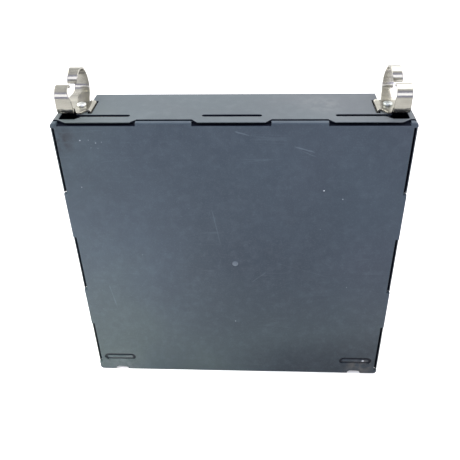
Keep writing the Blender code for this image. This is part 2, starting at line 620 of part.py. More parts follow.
def build_cells():
    for i in range(CELLS):
        mid, tag = cell_mid(i), f"cell_{i + 1}_"
        stack = rounded_box_mesh(tag, (-STACK_X, mid - STACK_HALF, STACK_Z[0]), (STACK_X, mid + STACK_HALF, STACK_Z[1]), 3.0, 2, 0, 0, 1)
        add(tag + "electrode_pack", stack, parts, STACK_MAT, case_root)
        add(tag + "pouch_front", pouch_mesh(tag + "pouch_front", mid, -1), parts, FILM_MAT, case_root)
        add(tag + "pouch_rear", pouch_mesh(tag + "pouch_rear", mid, +1), parts, FILM_MAT, case_root)
        for s, pole, mat in ((-1, "negative", COPPER_TAB_MAT), (1, "positive", ALU_TAB_MAT)):
            tab = box_mesh(tag, ((s * TAB_X - TAB_HALF, mid - TAB_T / 2, TAB_Z[0]), (s * TAB_X + TAB_HALF, mid + TAB_T / 2, TAB_Z[1])))
            add(tag + "tab_" + pole, tab, parts, mat, case_root)
    for i in range(CELLS - 1):
        middle = (cell_mid(i) + cell_mid(i + 1)) / 2
        sheet = box_mesh("spacer", ((-102, middle - 0.25, 12), (102, middle + 0.25, 198)))
        add(f"cell_spacer_{i + 1}", sheet, parts, SPACER_MAT, case_root)
    add("foam_pad_front", box_mesh("foam", ((-109.6, 2.3, 7), (109.6, 4.1, 203))), parts, FOAM_MAT, case_root)
    add("foam_pad_rear", box_mesh("foam", ((-103, 45.3, 11), (103, 46.6, 198))), parts, FOAM_MAT, case_root)
    add("bottom_cushion", box_mesh("cushion", ((-104, 9.0, 2.0), (104, 46.5, 5.6))), parts, FOAM_MAT, case_root)


def build_collectors():
    """Bus plates that the cells' tabs come up through, with a leg beside each flange."""
    for s, pole, mat in ((-1, "negative", COPPER_MAT), (1, "positive", ALUMINIUM_MAT)):
        near, far = 53.0, FLANGE_X - 0.9
        plate = box_mesh("bar", ((s * near, 5.4, BAR_Z[0]), (s * far, 44.2, BAR_Z[1])))
        bar = add("collector_bar_" + pole, plate, parts, mat, case_root)
        leg = ((s * (far - 1.5), 17.8, BAR_Z[0] + 0.4), (s * (far - 0.02), 33.6, 221.4))
        boolean(bar, box_mesh("leg", leg), "UNION")
        slots = [((s * (TAB_X - TAB_HALF - 0.6), cell_mid(i) - 0.7, 205), (s * (TAB_X + TAB_HALF + 0.6), cell_mid(i) + 0.7, 217))
                 for i in range(CELLS)]
        boolean(bar, box_mesh("slots", *slots), "DIFFERENCE")
        settle(bar)


build_tray()
build_cover()
build_clip("terminal_clip_negative", -1)
build_clip("terminal_clip_positive", +1)
build_rivets()
build_collectors()
build_cells()

for obj in parts.objects:
    if obj.type == "MESH" and not obj.data.materials:
        obj.data.materials.append(CASE_MAT)
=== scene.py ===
"""Looks of the prismatic battery cell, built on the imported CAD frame."""

import math

import bmesh
import bpy
from mathutils import Matrix, Vector


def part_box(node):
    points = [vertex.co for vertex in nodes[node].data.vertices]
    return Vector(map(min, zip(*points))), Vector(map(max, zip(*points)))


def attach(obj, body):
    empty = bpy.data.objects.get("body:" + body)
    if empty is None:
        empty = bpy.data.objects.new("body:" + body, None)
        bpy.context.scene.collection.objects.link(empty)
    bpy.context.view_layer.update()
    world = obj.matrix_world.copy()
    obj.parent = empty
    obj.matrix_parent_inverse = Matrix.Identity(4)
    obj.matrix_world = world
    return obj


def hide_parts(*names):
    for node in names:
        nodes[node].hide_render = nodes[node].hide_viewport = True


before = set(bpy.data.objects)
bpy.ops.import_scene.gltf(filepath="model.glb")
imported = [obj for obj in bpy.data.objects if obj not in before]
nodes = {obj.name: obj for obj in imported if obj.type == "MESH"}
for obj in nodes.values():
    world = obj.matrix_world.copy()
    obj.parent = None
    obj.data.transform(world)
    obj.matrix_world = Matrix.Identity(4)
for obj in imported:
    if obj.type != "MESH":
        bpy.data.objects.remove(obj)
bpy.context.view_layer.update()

MM = 0.001
DEPTH = 48.5
TOP = 224.0
scene = bpy.context.scene


def depth(y):
    return y - DEPTH / 2


def at(x, y, z):
    """Metres from millimetres, with y counted back from the front face."""
    return Vector((x, depth(y), z)) * MM


# =================================================================== materials
class Look:
    """A Principled material with small helpers for its node tree."""

    def __init__(self, name, **constants):
        self.material = bpy.data.materials.new(name)
        self.material.use_nodes = True
        self.tree = self.material.node_tree
        self.tree.nodes.clear()
        self.out = self.tree.nodes.new("ShaderNodeOutputMaterial")
        self.bsdf = self.tree.nodes.new("ShaderNodeBsdfPrincipled")
        self.link(self.bsdf.outputs[0], self.out.inputs[0])
        for key, value in constants.items():
            self.bsdf.inputs[key.replace("_", " ")].default_value = value
        self.coords = self.tree.nodes.new("ShaderNodeTexCoord").outputs["Object"]

    def link(self, a, b):
        self.tree.links.new(a, b)

    def put(self, socket, value):
        if isinstance(value, bpy.types.NodeSocket):
            self.link(value, socket)
        elif value is not None:
            socket.default_value = value

    def mapped(self, scale=(1, 1, 1), rotation=(0, 0, 0), offset=(0, 0, 0)):
        n = self.tree.nodes.new("ShaderNodeMapping")
        self.link(self.coords, n.inputs["Vector"])
        n.inputs["Scale"].default_value = scale
        n.inputs["Rotation"].default_value = [math.radians(a) for a in rotation]
        n.inputs["Location"].default_value = offset
        return n.outputs[0]

    def noise(self, scale, detail=3.0, rough=0.55, vector=None, distortion=0.0):
        n = self.tree.nodes.new("ShaderNodeTexNoise")
        self.link(vector or self.coords, n.inputs["Vector"])
        n.inputs["Scale"].default_value = scale
        n.inputs["Detail"].default_value = detail
        n.inputs["Roughness"].default_value = rough
        n.inputs["Distortion"].default_value = distortion
        return n.outputs["Fac"]

    def voronoi(self, scale, feature="F1", vector=None, randomness=1.0):
        n = self.tree.nodes.new("ShaderNodeTexVoronoi")
        n.feature = feature
        self.link(vector or self.coords, n.inputs["Vector"])
        n.inputs["Scale"].default_value = scale
        n.inputs["Randomness"].default_value = randomness
        return n

    def math(self, op, a, b=None, clamp=False):
        n = self.tree.nodes.new("ShaderNodeMath")
        n.operation = op
        n.use_clamp = clamp
        self.put(n.inputs[0], a)
        self.put(n.inputs[1], b)
        return n.outputs[0]

    def span(self, value, low, high, to_low=0.0, to_high=1.0, smooth=True):
        n = self.tree.nodes.new("ShaderNodeMapRange")
        n.interpolation_type = "SMOOTHSTEP" if smooth else "LINEAR"
        self.link(value, n.inputs["Value"])
        for key, v in (("From Min", low), ("From Max", high), ("To Min", to_low), ("To Max", to_high)):
            n.inputs[key].default_value = v
        return n.outputs["Result"]

    def mix(self, factor, a, b, blend="MIX"):
        n = self.tree.nodes.new("ShaderNodeMix")
        n.data_type = "RGBA"
        n.blend_type = blend
        self.put(n.inputs["Factor"], factor)
        for key, value in ((6, a), (7, b)):
            self.put(n.inputs[key], (*value, 1.0) if isinstance(value, tuple) and len(value) == 3 else value)
        return n.outputs[2]

    def axes(self, vector=None):
        n = self.tree.nodes.new("ShaderNodeSeparateXYZ")
        self.link(vector or self.coords, n.inputs[0])
        return n.outputs

    def spot(self, point, radius, soft=0.5):
        """1 within a radius (metres) of a point, falling to 0 outside."""
        n = self.tree.nodes.new("ShaderNodeVectorMath")
        n.operation = "DISTANCE"
        self.link(self.coords, n.inputs[0])
        n.inputs[1].default_value = point
        return self.span(n.outputs["Value"], radius * (1 + soft), radius * (1 - soft))

    def scratch(self, start, end, width):
        """1 along a line between two points, with soft sides and ends."""
        along = Vector(end) - Vector(start)
        reach = along.length
        along.normalize()
        offset = self.tree.nodes.new("ShaderNodeVectorMath")
        offset.operation = "SUBTRACT"
        self.link(self.coords, offset.inputs[0])
        offset.inputs[1].default_value = start
        run = self.tree.nodes.new("ShaderNodeVectorMath")
        run.operation = "DOT_PRODUCT"
        self.link(offset.outputs[0], run.inputs[0])
        run.inputs[1].default_value = along
        size = self.tree.nodes.new("ShaderNodeVectorMath")
        size.operation = "DOT_PRODUCT"
        self.link(offset.outputs[0], size.inputs[0])
        self.link(offset.outputs[0], size.inputs[1])
        t = run.outputs["Value"]
        away = self.math("SQRT", self.math("MAXIMUM", self.math("SUBTRACT", size.outputs["Value"], self.math("MULTIPLY", t, t)), 0.0))
        wobble = self.math("MULTIPLY", self.math("SUBTRACT", self.noise(180, 2.0), 0.5), width * 2.2)
        side = self.span(self.math("ABSOLUTE", self.math("ADD", away, wobble)), width, width * 0.25)
        ends = self.math("MULTIPLY", self.span(t, 0.0, reach * 0.2), self.span(t, reach, reach * 0.7))
        return self.math("MULTIPLY", side, ends)

    def bump(self, height, strength, distance, normal=None):
        n = self.tree.nodes.new("ShaderNodeBump")
        n.inputs["Strength"].default_value = strength
        n.inputs["Distance"].default_value = distance
        self.link(height, n.inputs["Height"])
        if normal is not None:
            self.link(normal, n.inputs["Normal"])
        return n.outputs[0]

    def colour(self, value):
        self.put(self.bsdf.inputs["Base Color"], value)

    def roughness(self, value):
        self.put(self.bsdf.inputs["Roughness"], value)

    def normal(self, value):
        self.link(value, self.bsdf.inputs["Normal"])


def plastic(name, dark, light, dust, inside, specks=(), smudges=(), scratches=(), gloss=0.5):
    """Fine-textured black moulding compound, a little dusty and rubbed, with painted light and painted shade in places.
    """
    look = Look(name, Metallic=0.0, IOR=1.47, Specular_IOR_Level=gloss)
    x, y, z = look.axes()
    grain = look.noise(1500, 2.0, 0.6)
    pits = look.noise(520, 3.0, 0.6)
    cloud = look.noise(24, 5.0, 0.62, distortion=0.4)
    fog = look.noise(62, 4.0, 0.6, distortion=0.3)
    broad = look.noise(6.5, 3.0, 0.5, distortion=0.8)
    mottled = look.math("ADD", look.math("MULTIPLY", cloud, 0.45),
                        look.math("ADD", look.math("MULTIPLY", broad, 0.43), look.math("MULTIPLY", fog, 0.12)))
    base = look.mix(look.span(mottled, 0.34, 0.66), dark, light)
    # Broad, faint tints, partly random and partly painted light: paler and greener toward the bottom left, where a
    # lamp's sheen falls, bluer toward the right.
    tint = look.noise(9, 2.0, 0.5, look.mapped((1, 1, 1), (0, 0, 0), (3.1, 0.7, 1.9)), 0.6)
    across = look.math("ADD", look.math("MULTIPLY", x, -2.6), look.math("MULTIPLY", look.math("SUBTRACT", z, 0.11), -1.2))
    tint_and_painted_light = look.math("ADD", look.math("SUBTRACT", tint, 0.5), across)
    base = look.mix(look.span(tint_and_painted_light, -0.38, -0.02, 0.60, 0.0), base, (1.16, 0.96, 0.98), "MULTIPLY")
    base = look.mix(look.span(tint_and_painted_light, 0.02, 0.38, 0.0, 0.60), base, (1.26, 1.20, 0.98), "MULTIPLY")
    # Painted shade: the middle and the bottom right of the panel are dimmed; less blue near the bottom.
    middle = look.math("MULTIPLY", look.span(look.math("ABSOLUTE", look.math("SUBTRACT", x, 0.022)), 0.095, 0.0),
                       look.span(look.math("ABSOLUTE", look.math("SUBTRACT", z, 0.105)), 0.100, 0.0))
    corner = look.math("MULTIPLY", look.span(x, -0.02, 0.05), look.span(z, 0.055, 0.012))
    painted_shade_amount = look.math("MAXIMUM", look.math("MULTIPLY", middle, 0.55), look.math("MULTIPLY", corner, 0.85))
    base = look.mix(painted_shade_amount, base, (0.15, 0.28, 0.40), "MULTIPLY")
    base = look.mix(look.span(z, 0.13, 0.015, 0.0, 0.8), base, (1.0, 0.98, 0.74), "MULTIPLY")
    # Grain tint: the tips of the texture are rubbed a little paler.
    base = look.mix(look.span(grain, 0.50, 0.80, 0.0, 0.20), base, dust)
    base = look.mix(look.span(look.noise(190, 2.0, 0.5), 0.40, 0.85, 0.0, 0.10), base, dust)
    # Long faint rub marks, kept to patches.
    marks = None
    for k, (turn, stretch, seat) in enumerate(((58, 95, 0.2), (-27, 120, 1.7), (82, 110, 4.4))):
        lines = look.noise(1.0, 2.0, 0.5, look.mapped((5, 5, stretch), (0, turn, 0), (seat, seat, seat)))
        thin = look.span(look.math("ABSOLUTE", look.math("SUBTRACT", lines, 0.5)), 0.010, 0.002)
        patch = look.span(look.noise(13 + 5 * k, 2.0, 0.5, look.mapped((1, 1, 1), (0, 0, 0), (seat, 0, seat))), 0.58, 0.70)
        hit = look.math("MULTIPLY", thin, patch)
        marks = hit if marks is None else look.math("MAXIMUM", marks, hit)
    marks = look.math("MULTIPLY", marks, 0.18)
    for start, end, width, amount in scratches:
        marks = look.math("MAXIMUM", marks, look.math("MULTIPLY", look.scratch(start, end, width), amount))
    base = look.mix(look.math("MULTIPLY", marks, 0.58), base, dust)
    # Scattered dust.
    cells = look.voronoi(150)
    near = look.span(cells.outputs["Distance"], 0.07, 0.03)
    shade = look.tree.nodes.new("ShaderNodeSeparateColor")
    look.link(cells.outputs["Color"], shade.inputs[0])
    some = look.math("GREATER_THAN", shade.outputs[0], 0.985)
    flecks = look.math("MULTIPLY", near, look.math("MULTIPLY", some, 0.5))
    for point, radius, amount in specks:
        flecks = look.math("MAXIMUM", flecks, look.math("MULTIPLY", look.spot(point, radius), amount))
    base = look.mix(look.math("MULTIPLY", flecks, 0.8), base, (0.55, 0.57, 0.58))
    for point, radius, amount, tone in smudges:
        cloudy = look.math("MULTIPLY", look.spot(point, radius, 0.8), look.span(look.noise(160, 4.0, 0.65), 0.36, 0.64))
        base = look.mix(look.math("MULTIPLY", cloudy, amount), base, tone)
    # Painted shade: near black on inside walls, slit faces and groove floors, where shade falls.
    within = inside(look, look.math("ABSOLUTE", x), y, z)
    base = look.mix(look.math("MULTIPLY", within, 0.93), base, (0.004, 0.005, 0.008))
    look.colour(base)
    rough = look.span(mottled, 0.3, 0.7, 0.50, 0.64)
    rough = look.math("ADD", rough, look.math("MULTIPLY", marks, -0.10))
    look.roughness(look.math("ADD", rough, look.math("MULTIPLY", within, 0.25)))
    fine = look.bump(grain, 0.35, 0.00006)
    fine = look.bump(pits, 0.22, 0.00012, fine)
    fine = look.bump(broad, 0.25, 0.0006, fine)
    look.normal(look.bump(marks, 0.25, 0.00005, fine))
    return look.material


def painted_shade_plastic(name):
    """Painted shade: a black, dull stand-in for the same moulding where no light gets in, with a little dust."""
    look = Look(name, Metallic=0.0, IOR=1.45, Specular_IOR_Level=0.04)
    cloud = look.noise(34, 4.0, 0.6, distortion=0.4)
    grain = look.noise(900, 2.0, 0.6)
    base = look.mix(look.span(cloud, 0.36, 0.64), (0.0030, 0.0042, 0.0085), (0.0056, 0.0072, 0.0130))
    look.colour(look.mix(look.span(grain, 0.55, 0.80, 0.0, 0.12), base, (0.02, 0.023, 0.03)))
    look.roughness(look.span(cloud, 0.3, 0.7, 0.70, 0.88))
    look.normal(look.bump(grain, 0.3, 0.00006))
    return look.material


def all_of(look, *tests):
    out = tests[0]
    for test in tests[1:]:
        out = look.math("MULTIPLY", out, test)
    return out


def below(look, value, limit):
    return look.math("LESS_THAN", value, limit * MM)


def above(look, value, limit):
    return look.math("GREATER_THAN", value, limit * MM)


# Masks for painted shade: near black where shade falls inside the cover, the case and the cover's grooves.
def painted_shade_cover(look, x, y, z):
    behind = all_of(look, above(look, y, depth(1.32)), below(look, x, 112.1), below(look, z, 221.6), above(look, z, 1.9))
    groove = all_of(look, above(look, y, depth(0.42)), below(look, z, 18.5), above(look, z, 11.5), above(look, x, 83.0), below(look, x, 109.8))
    return look.math("MAXIMUM", behind, look.math("MULTIPLY", groove, 0.85))


def painted_shade_case(look, x, y, z):
    depths = all_of(look, above(look, y, depth(6.15)), below(look, y, depth(48.0)))
    walls = all_of(look, below(look, x, 114.75), below(look, z, 223.74), above(look, z, 0.25))
    rim = all_of(look, below(look, y, depth(6.2)), below(look, x, 113.6), below(look, z, 222.6), above(look, z, 1.4))
    step = all_of(look, above(look, x, 95.2), above(look, y, depth(36.8)), above(look, z, 213.8))
    return look.math("MAXIMUM", rim, all_of(look, depths, walls, look.math("SUBTRACT", 1.0, step)))


def no_painted_shade(look, x, y, z):
    return below(look, x, -1.0)


def strip_metal(name, low, high, rough_low, rough_high):
    """Plated spring strip, brushed across its length."""
    look = Look(name, Metallic=0.86)
    brush = look.noise(1.0, 4.0, 0.65, look.mapped((14, 1700, 1700)))
    coarse = look.noise(1.0, 3.0, 0.6, look.mapped((30, 420, 420)))
    stain = look.noise(95, 4.0, 0.6, distortion=0.5)
    tone = look.math("ADD", look.math("MULTIPLY", brush, 0.35),
                     look.math("ADD", look.math("MULTIPLY", coarse, 0.25), look.math("MULTIPLY", stain, 0.4)))
    base = look.mix(look.span(tone, 0.34, 0.64), low, high)
    # Painted light: the inner side of the back arms is lightened where bright reflections fall, more so on the right.
    x, y, z = look.axes()
    rear_band = look.span(y, depth(42.0) * MM, depth(44.5) * MM)
    right = look.span(x, -0.01, 0.01)
    painted_light_low = all_of(look, look.span(y, depth(30.5) * MM, depth(34.0) * MM), look.span(z, 0.2299, 0.2287), look.span(right, 0.0, 1.0, 0.25, 0.85))
    painted_light_high = all_of(look, rear_band, look.span(z, 0.2304, 0.2318), look.span(right, 0.0, 1.0, 0.08, 0.9))
    painted_light_curl = all_of(look, right, look.span(y, depth(38.5) * MM, depth(37.0) * MM), look.span(y, depth(29.0) * MM, depth(31.0) * MM),
                  look.span(z, 0.2390, 0.2376), look.span(z, 0.2300, 0.2320))
    base = look.mix(look.math("MAXIMUM", painted_light_low, painted_light_curl), base, (2.4, 2.4, 2.45), "MULTIPLY")
    look.colour(look.mix(painted_light_high, base, (2.0, 2.0, 2.1), "MULTIPLY"))
    look.roughness(look.span(look.math("ADD", look.math("MULTIPLY", brush, 0.6), look.math("MULTIPLY", stain, 0.4)),
                             0.35, 0.65, rough_low, rough_high))
    fine = look.bump(brush, 0.22, 0.00003)
    fine = look.bump(coarse, 0.15, 0.00006, fine)
    look.normal(look.bump(look.noise(60, 2.0, 0.5), 0.25, 0.00035, fine))
    return look.material


def sheet_metal(name, low, high, rough_low, rough_high, along=(9, 700, 700)):
    """Rolled bar or tab."""
    look = Look(name, Metallic=1.0)
    roll = look.noise(1.0, 4.0, 0.6, look.mapped(along))
    stain = look.noise(70, 4.0, 0.6, distortion=0.6)
    tone = look.math("ADD", look.math("MULTIPLY", roll, 0.5), look.math("MULTIPLY", stain, 0.5))
    look.colour(look.mix(look.span(tone, 0.36, 0.64), low, high))
    look.roughness(look.span(tone, 0.35, 0.65, rough_low, rough_high))
    look.normal(look.bump(roll, 0.2, 0.00004))
    return look.material


def film(name):
    """Aluminium laminate film: satin, with soft creases."""
    look = Look(name, Metallic=0.85)
    crease = look.voronoi(46, "DISTANCE_TO_EDGE", look.mapped((1, 1, 1)))
    soft = look.noise(38, 4.0, 0.55, distortion=0.7)
    look.colour(look.mix(look.span(soft, 0.35, 0.65), (0.56, 0.57, 0.58), (0.76, 0.76, 0.75)))
    look.roughness(look.span(soft, 0.3, 0.7, 0.26, 0.42))
    fine = look.bump(soft, 0.5, 0.0008)
    fine = look.bump(look.span(crease.outputs["Distance"], 0.0, 0.05), 0.12, 0.0003, fine)
    look.normal(look.bump(look.noise(900, 2.0, 0.5), 0.10, 0.00005, fine))
    return look.material


def foam(name):
    """Closed-cell foam."""
    look = Look(name, Metallic=0.0, IOR=1.4)
    cells = look.voronoi(1100)
    big = look.voronoi(420)
    wear = look.noise(20, 4.0, 0.6)
    base = look.mix(look.span(wear, 0.35, 0.65), (0.020, 0.021, 0.023), (0.042, 0.043, 0.045))
    base = look.mix(look.span(cells.outputs["Distance"], 0.25, 0.6, 0.0, 0.35), base, (0.07, 0.07, 0.072))
    look.colour(base)
    look.roughness(look.span(wear, 0.3, 0.7, 0.86, 0.97))
    fine = look.bump(cells.outputs["Distance"], 0.6, 0.0003)
    look.normal(look.bump(big.outputs["Distance"], 0.35, 0.0004, fine))
    return look.material


def laminate(name):
    """Edges of many stacked foils and separators."""
    look = Look(name, Metallic=0.1)
    _, y, _ = look.axes()
    line = look.math("SINE", look.math("MULTIPLY", y, 22000.0))
    blotch = look.noise(40, 4.0, 0.6)
    base = look.mix(look.span(line, -0.4, 0.6), (0.022, 0.022, 0.024), (0.16, 0.13, 0.10))
    look.colour(look.mix(look.span(blotch, 0.4, 0.7, 0.0, 0.4), base, (0.05, 0.05, 0.055)))
    look.roughness(look.span(blotch, 0.3, 0.7, 0.6, 0.85))
    look.normal(look.bump(line, 0.4, 0.0001))
    return look.material


def paper(name):
    """Insulating sheet with short fibres."""
    look = Look(name, Metallic=0.0, IOR=1.45)
    fibre = look.noise(1.0, 3.0, 0.6, look.mapped((180, 900, 520), (0, 20, 0)))
    cloud = look.noise(30, 4.0, 0.6)
    look.colour(look.mix(look.span(look.math("ADD", look.math("MULTIPLY", fibre, 0.5), look.math("MULTIPLY", cloud, 0.5)), 0.38, 0.62),
                         (0.60, 0.58, 0.52), (0.76, 0.74, 0.69)))
    look.roughness(look.span(fibre, 0.3, 0.7, 0.62, 0.8))
    look.normal(look.bump(fibre, 0.25, 0.00008))
    return look.material


FRONT_Y = depth(0) * MM


def front(x, z):
    return (x * MM, FRONT_Y, z * MM)


SPECKS = [(front(x, z), r * MM, a) for x, z, r, a in (
    (-96.9, 212.2, 0.36, 0.62), (-91.4, 212.4, 0.28, 0.26), (-87.0, 210.4, 0.34, 0.36), (-83.1, 211.0, 0.28, 0.24),
    (-90.5, 207.0, 0.24, 0.20), (-86.0, 206.6, 0.24, 0.20), (-101.5, 177.6, 0.32, 0.40), (60.4, 175.6, 0.42, 0.85),
    (102.6, 14.6, 0.85, 1.0), (-66.5, 121.0, 0.26, 0.25), (82.5, 92.5, 0.26, 0.30), (-30.2, 161.0, 0.20, 0.15),
    (34.0, 96.0, 0.20, 0.15), (89.0, 141.0, 0.20, 0.15))]
SCRATCHES = [(front(*a), front(*b), w * MM, k) for a, b, w, k in (
    ((39.0, 208.0), (54.0, 203.5), 0.55, 0.75), ((44.0, 205.0), (55.0, 200.0), 0.45, 0.45),
    ((1.5, 218.5), (12.5, 215.2), 0.55, 0.75), ((-15.0, 163.0), (-9.0, 128.0), 0.40, 0.35),
    ((12.0, 96.0), (24.0, 107.0), 0.45, 0.35), ((-95.5, 96.0), (-91.0, 66.0), 0.55, 0.45),
    ((20.0, 118.0), (78.0, 99.0), 0.35, 0.16))]
# The cover's colours are set dimmer than the case's: painted shade on the front face, which takes less light than the
# top.
COVER = plastic("cover_plastic_look", (0.0125, 0.0235, 0.0355), (0.0235, 0.0370, 0.0500), (0.085, 0.105, 0.125), painted_shade_cover, SPECKS,
                ((front(-109.5, 212.5), 0.0075, 0.85, (0.008, 0.010, 0.013)),
                 (front(100, 8), 0.0085, 0.40, (0.11, 0.095, 0.075)),
                 (front(-92, 8), 0.012, 0.40, (0.075, 0.085, 0.085))), SCRATCHES, 0.36)
CASE = plastic("case_plastic_look", (0.028, 0.039, 0.046), (0.043, 0.056, 0.062), (0.12, 0.14, 0.15), painted_shade_case, (),
               (((58 * MM, depth(30) * MM, TOP * MM), 0.011, 0.30, (0.11, 0.115, 0.115)),))
SHADE_BLACK = painted_shade_plastic("deep_plastic_look")
CLIP = strip_metal("clip_strip_look", (0.245, 0.236, 0.200), (0.315, 0.304, 0.258), 0.14, 0.25)
RIVET = strip_metal("rivet_look", (0.42, 0.43, 0.415), (0.54, 0.55, 0.53), 0.36, 0.48)
# A dimmer copy of the rivet metal, as painted shade that tones down the stronger light on the right rivet.
RIVET_SHADED = strip_metal("painted_shade_rivet_look", (0.27, 0.29, 0.28), (0.36, 0.38, 0.37), 0.38, 0.50)
WASHER = sheet_metal("washer_look", (0.42, 0.42, 0.42), (0.60, 0.60, 0.60), 0.28, 0.42)
COPPER = sheet_metal("copper_look", (0.55, 0.27, 0.16), (0.78, 0.44, 0.29), 0.22, 0.38)
ALUMINIUM = sheet_metal("aluminium_look", (0.62, 0.63, 0.64), (0.80, 0.80, 0.80), 0.24, 0.40)
NICKELLED = sheet_metal("nickelled_tab_look", (0.52, 0.48, 0.42), (0.70, 0.66, 0.59), 0.20, 0.34, (700, 700, 9))
ALU_TAB = sheet_metal("aluminium_tab_look", (0.64, 0.65, 0.66), (0.82, 0.82, 0.82), 0.22, 0.36, (700, 700, 9))
FILM = film("pouch_film_look")
FOAM = foam("foam_look")
PACK = laminate("electrode_pack_look")
SHEET = paper("spacer_sheet_look")


# ==================================================================== geometry
def piece(name, mesh, material, body, stands_for=()):
    obj = bpy.data.objects.new(name, mesh)
    scene.collection.objects.link(obj)
    mesh.materials.clear()
    mesh.materials.append(material)
    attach(obj, body)
    if stands_for:
        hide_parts(*stands_for)
    return obj


def mesh_of(bm, name):
    mesh = bpy.data.meshes.new(name)
    bm.to_mesh(mesh)
    bm.free()
    return mesh


def evaluated(obj):
    bpy.context.view_layer.update()
    return bpy.data.meshes.new_from_object(obj.evaluated_get(bpy.context.evaluated_depsgraph_get()))


def soften(obj, width, segments=2, angle=50.0, where=None):
    """Round the sharp edges, keep the flats flat, and fix the result in the mesh."""
    bm = bmesh.new()
    bm.from_mesh(obj.data)
    weight = bm.edges.layers.float.get("bevel_weight_edge") or bm.edges.layers.float.new("bevel_weight_edge")
    for e in bm.edges:
        sharp = len(e.link_faces) == 2 and e.calc_face_angle(0.0) > math.radians(angle)
        rounded = sharp and (where is None or where((e.verts[0].co + e.verts[1].co) / 2 / MM))
        e[weight] = 1.0 if rounded else 0.0
        e.smooth = rounded or not sharp
    bm.to_mesh(obj.data)
    bm.free()
    edge = obj.modifiers.new("Edges", "BEVEL")
    edge.width = width * MM
    edge.segments = segments
    edge.limit_method = "WEIGHT"
    edge.use_clamp_overlap = False
    edge.miter_outer = "MITER_ARC"
    edge.face_strength_mode = "FSTR_AFFECTED"
    flats = obj.modifiers.new("Flats", "WEIGHTED_NORMAL")
    flats.mode = "FACE_AREA_WITH_ANGLE"
    flats.weight = 80
    flats.use_face_influence = True
    flats.keep_sharp = True
    for face in obj.data.polygons:
        face.use_smooth = True
    made = evaluated(obj)
    obj.modifiers.clear()
    obj.data = made
    return obj


# Planes (mm) through the middle of every opening, so that no face runs round a hole.
CUTS_X = (-99.6, -92.6, -60.0, -30.0, 0.6, 30.0, 60.0, 92.6, 99.6)
CUTS_Z = (30.0, 70.0, 111.5, 155.0, 195.0)


def cad_copy(node):
    """The node's own shape, with its flat faces whole again between the cuts."""
    bm = bmesh.new()
    bm.from_mesh(nodes[node].data)
    bmesh.ops.remove_doubles(bm, verts=bm.verts[:], dist=2e-6)
    for axis, places in ((0, CUTS_X), (2, CUTS_Z)):
        for place in places:
            where, facing = Vector((0, 0, 0)), Vector((0, 0, 0))
            where[axis] = place * MM
            facing[axis] = 1.0
            cut = bmesh.ops.bisect_plane(bm, geom=bm.verts[:] + bm.edges[:] + bm.faces[:], plane_co=where, plane_no=facing, dist=1e-7)
            for part in cut["geom_cut"]:
                if isinstance(part, bmesh.types.BMEdge):
                    part.seam = True
    bmesh.ops.dissolve_limit(bm, angle_limit=math.radians(0.6), verts=bm.verts[:], edges=bm.edges[:], delimit={"SEAM"})
    for face in bm.faces:
        face.smooth = True
    return bm


def turned_mesh(name, profile, steps, centre):
    """Profile of (radius, height) points turned about an upright axis."""
    bm = bmesh.new()
    verts = [bm.verts.new((r * MM, 0, z * MM)) for r, z in profile]
    for a, b in zip(verts, verts[1:]):
        bm.edges.new((a, b))
    bmesh.ops.spin(bm, geom=bm.verts[:] + bm.edges[:], cent=(0, 0, 0), axis=(0, 0, 1), angle=2 * math.pi, steps=steps, use_merge=True)
    bmesh.ops.remove_doubles(bm, verts=bm.verts[:], dist=1e-6)
    bmesh.ops.recalc_face_normals(bm, faces=bm.faces[:])
    bm.transform(Matrix.Translation(centre))
    mesh = mesh_of(bm, name)
    mesh.shade_smooth()
    mesh.set_sharp_from_angle(angle=math.radians(38))
    return mesh


def darken(obj, inner):
    """Give the faces that an inner(x, y from the front, z, normal) test picks the black painted-shade material."""
    obj.data.materials.append(SHADE_BLACK)
    for face in obj.data.polygons:
        c = face.center / MM
        if inner(abs(c.x), c.y + DEPTH / 2, c.z, face.normal):
            face.material_index = 1


# Faces that take the black painted-shade material: inner walls, slit faces and ledges where shade falls.
def tray_inner(x, y, z, n):
    skin = z > 223.7 or z < 0.3 or x > 114.7 or y > 46.9
    for corner in (221.5, 2.5):
        skin = skin or (x > 112.5 and (z - corner) * (corner - 112) > 0 and math.hypot(x - 112.5, z - corner) > 2.3)
    skin = skin or (x > 95.2 and y > 36.8 and z > 213.8) or (y < 2.0 and n.y < -0.5)
    return not skin


def cover_inner(x, y, z, n):
    behind = y > 1.35 and x < 112.1 and 1.9 < z < 221.6
    ledge = y > 0.6 and ((n.z > 0.7 and 221.4 < z < 222.2) or (abs(n.x) > 0.7 and 112.0 < x < 112.8))
    return behind or ledge


# ------------------------------------------------------------- case and cover
tray = piece("case_tray", mesh_of(cad_copy("rear_tray"), "case_tray"), CASE, "case", ("rear_tray",))
soften(tray, 0.28, 2, 50)
darken(tray, tray_inner)

cover = piece("case_cover", mesh_of(cad_copy("front_cover"), "case_cover"), COVER, "cover", ("front_cover",))

# Gate mark: a shallow round dimple with the broken-off stub in it.
GATE = (0.6, 113.4)
dimple = bmesh.new()
bmesh.ops.create_cone(dimple, cap_ends=True, segments=40, radius1=3.05 * MM, radius2=2.5 * MM, depth=1.0 * MM,
                      matrix=Matrix.Translation(at(GATE[0], -0.05, GATE[1])) @ Matrix.Rotation(math.radians(-90), 4, "X"))
cutter = bpy.data.objects.new("gate_cutter", mesh_of(dimple, "gate_cutter"))
scene.collection.objects.link(cutter)
cut = cover.modifiers.new("Gate", "BOOLEAN")
cut.operation = "DIFFERENCE"
cut.solver = "EXACT"
cut.object = cutter
shaped = evaluated(cover)
cover.modifiers.clear()
cover.data = shaped
bpy.data.objects.remove(cutter, do_unlink=True)


def on_bar(p):
    return p.y < depth(0.05) and 85.2 < abs(p.x) < 107.6 and 13.1 < p.z < 16.3


